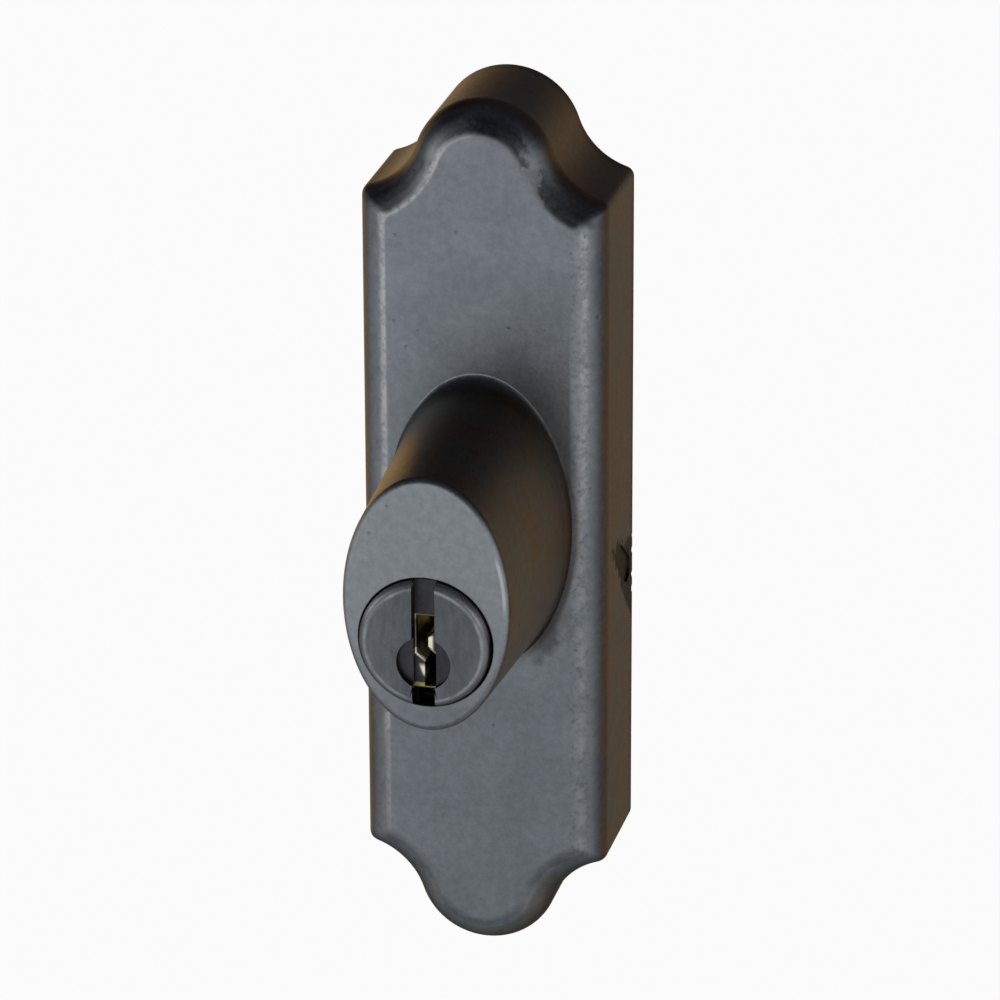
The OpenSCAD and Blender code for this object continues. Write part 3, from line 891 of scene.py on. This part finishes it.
def ridge_wear_and_highlight(spot, at):
    """The plate's rounded ridge rubbed bright, with a painted highlight: most on the left, less below, least
    right of the crown. On the right side the bright band lies a little further down the bevel. A patch lies
    left on the crown."""
    left = times(between(at["depth"], 0.004, 0.06, 0.16, 0.62),
                 ramp(at["X"], 6, -2), ramp(at["Z"], -42, -8, 0.1, 1.0))
    right = times(between(at["depth"], 0.1, 0.5, 0.6, 1.05), ramp(at["X"], -2, 6),
                  ramp(at["Z"], -12, 22, 0.05, 0.75), patchy(spot, 1.3, 0.38, 0.56, 0.3, 1.0))
    crown = times(ramp(at["X"], -2, 1, 0.0, 0.85), ramp(at["Z"], 34, 36.5))
    rub = times(patchy(spot, 0.5, 0.35, 0.6, 0.55, 1.0), patchy(spot, 1.7, 0.36, 0.5, 0.45, 1.0, detail=2))
    band = times(maths('ADD', left, right), less(crown), rub)
    patch = times(ramp(at["X"], 0.5, -1.5), ramp(at["Z"], 40.5, 42.5),
                  ramp(at["depth"], 1.2, 0.5, 0.0, 0.65), patchy(spot, 0.7, 0.3, 0.5),
                  ramp(at["depth"], 0.004, 0.06))
    return strongest(band, patch)


def root_highlight(spot, at):
    """Painted highlights on the foot of the barrel's flare, above, and along the right edge of its face"""
    foot = times(between(at["depth"], -0.34, -0.1, -0.03, -0.004), ramp(at["Z"], 4, 11, 0.0, 0.5),
                 patchy(spot, 0.45, 0.38, 0.58, 0.1, 1.0))
    face_edge_highlight = times(between(oval_reach(at, FACE_SIZE), 0.915, 0.935, 0.95, 0.97),
                  ramp(at["Y"], FACE_Y + 0.3, FACE_Y + 0.1), between(at["Z"], 1, 3, 6.5, 8.5),
                  ramp(at["X"], 2, 4, 0.0, 0.9))
    return strongest(foot, face_edge_highlight)


def rough_ridge(spot, at):
    """Small dark pits in the skin of the casting along the right ridge"""
    pits = patchy(spot, 1.9, 0.5, 0.62, 0.0, 0.22, rough=0.6)
    return times(pits, ramp(at["X"], 9.6, 10.2), between(at["depth"], -0.1, 0, 0.7, 1.1))


def crown_shade(spot, at):
    """Painted shade on the bevel round the crown: right of its top, on the right shoulder beyond a gap, and
    on the left flank outside the ridge's bright band"""
    across = maths('ADD', at["X"], ragged(spot, 0.9))
    right = maths('ADD', between(across, -1.8, -0.4, 4.4, 5.0), ramp(across, 6.3, 6.9))
    right = times(right, ramp(at["Z"], 35, 36), between(at["depth"], 0.02, 0.2, 0.8, 1.5))
    left = times(ramp(across, -1.2, -2.6), ramp(at["Z"], 35, 37, 0.0, 0.8),
                 between(at["depth"], 0.5, 0.8, 1.3, 1.9))
    return strongest(right, left)


def oval_reach(at, size=ROOT_SIZE):
    """Distance from the barrel's axis, as a share of an oval of that size"""
    wide = maths('DIVIDE', at["X"], size[0] / 2)
    tall = maths('DIVIDE', maths('SUBTRACT', at["Z"], BARREL_Z), size[1] / 2)
    return hypotenuse(wide, tall)


def hypotenuse(a, b):
    return maths('SQRT', maths('ADD', maths('POWER', a, 2.0), maths('POWER', b, 2.0)))


def on_flat(at):
    """The plate's flat and all behind it, without the barrel"""
    return ramp(at["depth"], -1.2, -0.3)


def beside_root_shade(spot, at):
    """Painted shade on the flat, low on the right of the barrel's root"""
    reach = maths('ADD', oval_reach(at), patchy(spot, 0.6, 0.3, 0.7, -0.07, 0.07))
    return times(ramp(reach, 1.28, 1.1, 0.0, 0.5), ramp(at["X"], 5, 7), ramp(at["Z"], -6, -10), on_flat(at))


def front_colour(at, clouds):
    """The cool grey of the front, lighter on the barrel's face, with painted light upwards, on the left and
    on the lowest bevel, brown on the lower bevel partly as a painted warm reflection, painted shade down the
    bevel elsewhere"""
    body = blend(ramp(clouds, 0.3, 0.7), BRONZE_DARK, BRONZE_LIGHT)
    # lighter on the barrel's face, fading out towards its bottom
    face_lighter = times(ramp(at["Y"], FACE_Y + 0.9, FACE_Y + 0.1), ramp(at["Z"], -12.0, -2.0))
    body = blend(face_lighter, body, BRONZE_FACE_LIGHT)
    # painted light: lighter upwards and on the left
    body = shaded(body, ramp(at["Z"], -40, 40, 0.98, 1.19))
    body = shaded(body, ramp(at["X"], -10, -2, 1.06, 1.0))
    # painted light on the lowest bevel
    foot = times(ramp(at["Z"], -39, -43, 0.0, 0.25), ramp(at["depth"], 0.1, 0.5))
    body = shaded(body, maths('ADD', 1.0, foot))
    # brown on the lower bevel: the finish's tone, partly a painted warm reflection
    brown = times(ramp(at["Z"], -37, -40), ramp(at["X"], -2, 4, 0.35, 0.85), ramp(at["depth"], 0.35, 0.7))
    body = blend(brown, body, BRONZE_FOOT)
    # painted shade further down the bevel, less of it round the crown
    outer = times(ramp(at["depth"], 0.6, 1.5, 0.0, 0.22), ramp(at["Z"], 40, 36, 0.3, 1.0))
    return shaded(body, less(outer))


def side_colour(spot, at, side, body):
    """Brown on the side walls, the finish's tone and partly a painted warm reflection; painted light under
    the barrel; painted shade at the rear edge, on the left wall and left of the crown's top"""
    # brown walls: the finish's tone and partly a painted warm reflection
    wall = blend(patchy(spot, 0.13, 0.42, 0.6, detail=2), WALL_BROWN, WALL_WARM)
    body = blend(side, body, wall)
    # painted light on the sides of the barrel's lower part
    under = times(ramp(at["depth"], -1, -4), ramp(at["Z"], 3, -8), side)
    body = blend(under, body, UNDER_BARREL_LIT)
    # painted shade at the rear edge and on the left wall
    rear = times(ramp(at["Y"], -2.3, -0.8, 1.0, 0.5), ramp(at["X"], -12.8, -12.2, 0.65, 1.0))
    # painted shade on the walls left of the crown's top
    crown_left_shade = times(ramp(at["X"], 1.5, -3), ramp(at["Z"], 39.5, 43), side)
    return shaded(body, times(rear, less(crown_left_shade, 0.5)))


def surface_colour(spot, at, grain, body):
    """Specks and pits, painted shade low right of the root, and painted shade dimming the reflection on the
    barrel's foot above
    """
    speck = times(ramp(grain["Grain"], 0.36, 0.64, 0.94, 1.06),
                  patchy(spot, 1.1, 0.3, 0.7, 0.92, 1.08, rough=0.6))
    speck = maths('SUBTRACT', speck, rough_ridge(spot, at))
    # painted shade low right of the barrel's root
    body = shaded(body, times(speck, less(beside_root_shade(spot, at))))
    body = blend(times(grain["Pits"], 0.3), body, PIT)
    # painted shade that dims the reflection at the top of the barrel's foot
    root_glint_shade = times(between(at["depth"], -0.7, -0.4, -0.04, -0.01), ramp(at["Z"], 7, 11, 0.0, 0.15))
    return shaded(body, less(root_glint_shade))


def edge_wear_and_highlights(spot, at):
    """Metal rubbed bright along the ridge and the barrel's rim, with painted highlights on the ridge, at the
    barrel's foot and on the edge of its face
    """
    ridge = use(EDGE_WEAR, spot, Level=FLAT_Y + 0.45, Width=0.44, Break=0.7)["Mask"]
    rim = use(EDGE_WEAR, spot, Level=FACE_Y + 0.2, Width=0.2, Break=0.7)["Mask"]
    return strongest(times(ridge, 0.3), times(rim, 0.3), ridge_wear_and_highlight(spot, at), root_highlight(spot, at))


def root_shade(spot, at):
    """Painted shade in the root of the barrel, low on its right, and painted shadow on the flat beside the
    root, further up
    """
    root = times(between(at["depth"], -2.2, -0.7, -0.14, -0.03), ramp(at["Z"], 5, -3),
                 ramp(at["X"], 1, 6), patchy(spot, 0.22, 0.36, 0.58, 0.0, 0.7))
    oval = oval_reach(at)
    tight = times(ramp(oval, 1.11, 1.045), ramp(at["X"], 3, 6.5), ramp(at["Z"], 11, 7, 0.0, 0.6))
    wide = times(ramp(oval, 1.4, 1.08), ramp(at["X"], 1, 6), ramp(at["Z"], 2, 7, 0.0, 0.4),
                 ramp(at["X"], 10.9, 10.1))
    return strongest(root, times(strongest(wide, tight), on_flat(at)))


def wall_wedge_dark(spot, at):
    """Darker in a ragged wedge round the trimming mark in the right wall"""
    torn = ragged(spot, 0.8)
    wedge = [ramp(at["X"], 12.4, 12.9)]
    upper, lower = ((0, -0.28, -1), 4.6), ((0, 1.18, 1), -15.0)
    for slope, level in (upper, lower):
        line = add(tree_of(spot), "ShaderNodeVectorMath", {0: spot, 1: slope}, operation='DOT_PRODUCT')
        wedge.append(ramp(maths('ADD', line.outputs["Value"], torn), level - 0.3, level + 0.7))
    return times(*wedge, 0.9)


def window_gap_shade(at):
    """Painted shade in the gap at the edge of the plug's window"""
    reach = hypotenuse(at["X"], maths('SUBTRACT', at["Z"], PLUG_Z))
    return times(ramp(reach, HEAD_R + 0.3, HEAD_R + 0.14), ramp(at["depth"], 0, -1))


def bronze_finish():
    """Oil-rubbed bronze on a casting: cool grey, browner on its side walls, rubbed bright along its edges,
    with painted light, shade and highlights
    """
    mat, tree, bsdf = new_finish("oil_rubbed_bronze")
    spot = in_millimetres(tree)
    at = dict(axes(spot).items())
    at["depth"] = maths('SUBTRACT', at["Y"], FLAT_Y)
    grain = use(CAST_GRAIN, spot, Fine=2.6, Cloud=0.13, Pit=0.5)
    facing = axes(tree.nodes["Texture Coordinate"].outputs["Normal"])
    side = times(ramp(facing["Y"], -0.75, -0.35), ramp(grain["Clouds"], 0.2, 0.75, 0.6, 1.0))
    body = front_colour(at, grain["Clouds"])
    body = side_colour(spot, at, side, body)
    # painted shade on the bevel round the crown
    body = shaded(body, less(crown_shade(spot, at), 0.62))
    body = surface_colour(spot, at, grain, body)
    # wear along the edges, with painted highlights on the ridge, the flare's foot and the face's edge
    worn_and_lit = edge_wear_and_highlights(spot, at)
    body = blend(worn_and_lit, body, WORN_AND_LIT_GREY)
    # painted shade in the barrel's root and the window's gap, and the dark wedge on the right wall
    painted_dark = strongest(root_shade(spot, at), wall_wedge_dark(spot, at), window_gap_shade(at))
    body = blend(painted_dark, body, DARK_PATCH)
    rough = ramp(grain["Grain"], 0.25, 0.75, 0.36, 0.46)
    rough = maths('SUBTRACT', rough, times(worn_and_lit, 0.08))
    rough = maths('ADD', rough, times(painted_dark, 0.2))
    height = maths('ADD', times(grain["Grain"], 0.35), grain["Clouds"])
    height = maths('SUBTRACT', height, grain["Pits"])
    finish(bsdf, body, rough, 1.0, height, 0.35, 0.12)
    return mat


# The finishes of the pieces behind the casting

def plain_metal(name, colour, stained, rough, scale, stretch=(1, 1, 1), dark_front=None):
    """A machined or plated metal with faint tool marks and handling stains, and black in front of the dark
    front's
    level where that is given: painted shade in the gap round the plug's head"""
    mat, tree, bsdf = new_finish(name)
    spot = in_millimetres(tree)
    clouds = use(CAST_GRAIN, spot, Fine=scale, Cloud=0.2, Pit=0.4)["Clouds"]
    marks = noise(stretched(spot, stretch), 3.0)
    body = blend(ramp(clouds, 0.35, 0.7), colour, stained)
    # painted shade: black in front of the dark front, where the gap round the plug's head lies
    if dark_front is not None:
        front = ramp(axes(spot)["Y"], dark_front + 1.0, dark_front + 0.4)
        body = blend(front, body, GAP_SHADE_BLACK)
    finish(bsdf, body, ramp(marks, 0.3, 0.7, rough - 0.06, rough + 0.08), 1.0, marks, 0.15, 0.02)
    return mat


def rubber_finish():
    """Matt black rubber"""
    mat, tree, bsdf = new_finish("gasket_rubber")
    grain = use(CAST_GRAIN, in_millimetres(tree), Fine=6.0, Cloud=0.3, Pit=0.8)
    body = blend(grain["Clouds"], RUBBER_DARK, RUBBER_PALE)
    rough = ramp(grain["Grain"], 0.3, 0.7, 0.6, 0.8)
    finish(bsdf, body, rough, 0.0, grain["Grain"], 0.2, 0.03)
    return mat


# The plug's finish. Up is millimetres over the plug's axis, deep is millimetres behind the head's front

def head_rim(spot, at, body):
    """The head's rounded rim: grey, a light line at its inner edge that is wear and painted highlight, a
    painted highlight high up, and painted shadow black at the sides
    """
    rim = times(ramp(at["reach"], HEAD_R - 0.85, HEAD_R - 0.6), ramp(at["deep"], 1.2, 0.9))
    body = blend(times(rim, 0.6), body, RIM_GREY)
    # painted highlight high up on the rim
    steep = times(rim, ramp(at["reach"], HEAD_R - 0.5, HEAD_R - 0.3), ramp(at["up"], 1.5, 4.5, 0.0, 0.8))
    body = blend(steep, body, RIM_HIGHLIGHT)
    beside_slot = ramp(maths('ABSOLUTE', at["X"]), SLOT_HALF_W + 0.02, SLOT_HALF_W + 0.12)
    # painted shadow black at the head's outer edge, with a pale painted highlight above beside the slot
    ring = blend(times(ramp(at["up"], 0, 4), beside_slot), RING_SHADOW, RING_HIGHLIGHT)
    body = blend(ramp(at["reach"], HEAD_R - 0.18, HEAD_R - 0.04), body, ring)
    # a light line at the rim's inner edge: wear and a painted highlight
    line = times(between(at["reach"], HEAD_R - 1.0, HEAD_R - 0.8, HEAD_R - 0.7, HEAD_R - 0.5),
                 patchy(spot, 0.5, 0.35, 0.6, 0.1, 0.5, detail=2), ramp(at["deep"], 0.4, 0.2))
    return blend(line, body, WORN_AND_LIT_GREY)


def slot_floor(at, sunk, body):
    """Two painted highlights on the slot's floor, brass at the keyway's foot, painted shadow black below it
    """
    upper = times(between(at["X"], -0.2, 0.1, 0.5, 0.85), between(at["up"], -1.6, -1.1, 0.4, 0.8))
    slanted = maths('ADD', at["X"], times(at["up"], 0.35))
    lower = times(ramp(slanted, -1.85, -1.5), ramp(at["X"], 0.1, -0.05),
                  between(at["up"], -4.1, -3.6, -3.1, -2.4))
    # painted highlights: the two lit spots on the slot's floor
    rubbed = times(strongest(upper, lower), ramp(at["deep"], SLOT_DEPTH - 0.2, SLOT_DEPTH - 0.05))
    body = blend(rubbed, body, SLOT_HIGHLIGHT)
    body = blend(times(ramp(at["up"], -4.6, -4.75), sunk), body, SLOT_BRASS)
    # painted shadow black below the keyway's foot
    return blend(times(ramp(at["up"], -5.05, -5.2), sunk), body, SLOT_FOOT_SHADOW)


def keyway_colour(at):
    """The keyway: painted highlights on its wards, olive above, painted shadow black at its foot"""
    # painted highlights on the wards, the heel and the top
    wards = times(between(at["up"], -2.5, -2.2, -1.0, -0.7), ramp(at["deep"], 4.2, 3.0))
    heel = times(between(at["up"], -4.4, -4.2, -3.5, -3.2), ramp(at["deep"], 3.4, 2.4))
    top = times(ramp(at["deep"], 1.9, 1.7), ramp(at["up"], 2.2, 2.6, 0.06, 0.4))
    inside = blend(ramp(at["deep"], 1.7, 2.4), KEYWAY_DARK, KEYWAY_BRASS)
    olive = times(ramp(at["up"], 0.2, 1.0), ramp(at["deep"], 1.7, 2.0))
    inside = blend(olive, inside, KEYWAY_OLIVE)
    inside = blend(strongest(wards, heel, top), inside, KEYWAY_HIGHLIGHT)
    # painted shadow black at the foot
    return blend(ramp(at["up"], -4.95, -4.85), KEYWAY_FOOT_SHADOW, inside)


def plug_finish():
    """Bronze like the casting on the head, bare brass in the keyway and behind the head"""
    mat, tree, bsdf = new_finish("plug_bronze")
    spot = in_millimetres(tree)
    at = dict(axes(spot).items())
    at["deep"] = maths('SUBTRACT', at["Y"], HEAD_Y)
    at["up"] = maths('SUBTRACT', at["Z"], PLUG_Z)
    at["reach"] = hypotenuse(at["X"], at["up"])
    grain = use(CAST_GRAIN, spot, Fine=3.2, Cloud=0.22, Pit=0.6)
    body = blend(ramp(grain["Clouds"], 0.3, 0.7), HEAD_DARK, HEAD_LIGHT)
    sunk = ramp(at["deep"], 0.1, 0.6)
    # painted shade on the faces sunk behind the head's front
    body = blend(sunk, body, HEAD_RECESS_SHADE)
    strokes = stretched(spot, (1.3, 1.3, 0.35))
    body = shaded(body, patchy(strokes, 1.0, 0.3, 0.7, 0.88, 1.12))
    body = head_rim(spot, at, body)
    body = slot_floor(at, sunk, body)
    behind_floor = ramp(at["deep"], SLOT_DEPTH + 0.01, SLOT_DEPTH + 0.07)
    body = blend(behind_floor, body, keyway_colour(at))
    rough = ramp(grain["Grain"], 0.25, 0.75, 0.36, 0.48)
    finish(bsdf, body, rough, 1.0, grain["Grain"], 0.3, 0.04)
    return mat


FINISH = {
    "bronze_casting": bronze_finish(),
    "plug_brass": plug_finish(),
    "brass": plain_metal("turned_brass", BRASS_LIGHT, BRASS_STAINED, 0.3, 4.0, (1, 6, 1)),
    "steel": plain_metal("zinc_plated_steel", ZINC, ZINC_STAINED, 0.34, 4.0, (6, 1, 1)),
    "spring_steel": plain_metal("spring_wire", WIRE, WIRE_STAINED, 0.25, 5.0),
    "gasket_rubber": rubber_finish(),
}
SHELL_BRASS = plain_metal("body_brass", BRASS_LIGHT, BRASS_STAINED, 0.3, 4.0, (1, 1, 6), SHELL_FRONT)
for node, obj in shown.items():
    obj.data.materials.clear()
    obj.data.materials.append(SHELL_BRASS if node == "cylinder_body" else FINISH[SLOT_OF[node]])


# Stage, light and camera

FLOOR_WHITE = (0.8, 0.8, 0.8)
FLOOR_LEVEL = -0.25         # metres, as a stage is
ROOM_LIGHT = (0.7, 0.72, 0.74)
CARD_ABOVE = (0.042, 0.043, 0.055)
CARD_SIDE = (0.22, 0.235, 0.26)
CARD_BEHIND = (0.28, 0.23, 0.17)
CARD_BEHIND_LEFT = (0.78, 0.54, 0.27)
CARD_BEHIND_LOW = (0.12, 0.106, 0.084)

# The photograph's camera, from a fit to the plate's outline: degrees to the right and up and its roll, how
# far away it stands, what it aims at, to the right and up from the frame's origin, and its lens
CAMERA_TURNED, CAMERA_RAISED, CAMERA_ROLL = 13.78, 21.99, -0.17
CAMERA_AWAY = 635.06
CAMERA_AIM = (-1.520, -1.474)
CAMERA_LENS = 211.42


def pale_floor():
    """A pale floor below the lock, white to the camera but for the lock's shadow"""
    bpy.ops.object.select_all(action='DESELECT')
    bpy.ops.mesh.primitive_plane_add(size=12, location=(0, 0, FLOOR_LEVEL))
    floor = bpy.context.object
    floor.name = "floor"
    mat = bpy.data.materials.new("pale_floor")
    mat.use_nodes = True
    tree = mat.node_tree
    tree.nodes.clear()
    out = tree.nodes.new("ShaderNodeOutputMaterial")
    path = tree.nodes.new("ShaderNodeLightPath").outputs
    diffuse = add(tree, "ShaderNodeBsdfDiffuse", {"Color": FLOOR_WHITE}).outputs[0]
    glow = tree.nodes.new("ShaderNodeEmission").outputs[0]
    seen = times(path["Is Camera Ray"], 0.965)
    mix = add(tree, "ShaderNodeMixShader", {"Fac": seen, 1: diffuse, 2: glow})
    feed(mix.outputs[0], out.inputs["Surface"])
    floor.data.materials.append(mat)
    floor.visible_glossy = False


def studio_world():
    """White to the camera, in reflections and through glass. Cards that the camera doesn't see stand round
    the lock: dark overhead, grey at the sides, brown behind and warmer behind to the left"""
    world = bpy.data.worlds.new("studio")
    bpy.context.scene.world = world
    world.use_nodes = True
    tree = world.node_tree
    tree.nodes.clear()
    path = tree.nodes.new("ShaderNodeLightPath").outputs
    way = axes(tree.nodes.new("ShaderNodeTexCoord").outputs["Generated"])
    seen = strongest(path["Is Glossy Ray"], path["Is Transmission Ray"], path["Is Camera Ray"])
    room = blend(seen, ROOM_LIGHT, (1.0, 1.0, 1.0))
    above = ramp(way["Z"], 0.0, 0.36)
    cards = blend(ramp(way["X"], 0.05, -0.45), CARD_BEHIND, CARD_BEHIND_LEFT)
    cards = blend(ramp(way["Z"], -0.4, -0.62), cards, CARD_BEHIND_LOW)
    cards = blend(ramp(way["Y"], 0.0, 0.55), CARD_SIDE, cards)
    cards = blend(above, cards, CARD_ABOVE)
    covered = strongest(above, ramp(way["Y"], -0.8, 0.3), ramp(way["Z"], -0.3, -0.85, 0.0, 0.85))
    covered = times(covered, less(path["Is Camera Ray"]))
    back = add(tree, "ShaderNodeBackground", {"Color": blend(covered, room, cards)})
    out = tree.nodes.new("ShaderNodeOutputWorld")
    feed(back.outputs[0], out.inputs["Surface"])


def set_camera():
    """The photograph's view"""
    turned, raised, roll = (math.radians(angle) for angle in (CAMERA_TURNED, CAMERA_RAISED, CAMERA_ROLL))
    outward = Vector((math.sin(turned), -math.cos(turned), 0))
    back = outward * math.cos(raised) + Vector((0, 0, math.sin(raised)))
    right = Vector((math.cos(turned), math.sin(turned), 0))
    stand = back * CAMERA_AWAY
    away = (stand - right * CAMERA_AIM[0] - back.cross(right) * CAMERA_AIM[1]).normalized()
    right = (right - away * right.dot(away)).normalized()
    up = away.cross(right)
    right, up = right * math.cos(roll) + up * math.sin(roll), up * math.cos(roll) - right * math.sin(roll)
    cam = bpy.data.cameras.new("camera")
    cam.sensor_width = 36
    cam.lens = CAMERA_LENS
    cam.clip_start = 0.01
    cam.clip_end = 20
    obj = bpy.data.objects.new("camera", cam)
    bpy.context.scene.collection.objects.link(obj)
    turn = Matrix((right, up, away)).transposed()
    obj.matrix_world = Matrix.Translation(stand * MM) @ turn.to_4x4()
    bpy.context.scene.camera = obj


pale_floor()
studio_world()
set_camera()
bpy.context.scene.view_settings.view_transform = 'Standard'
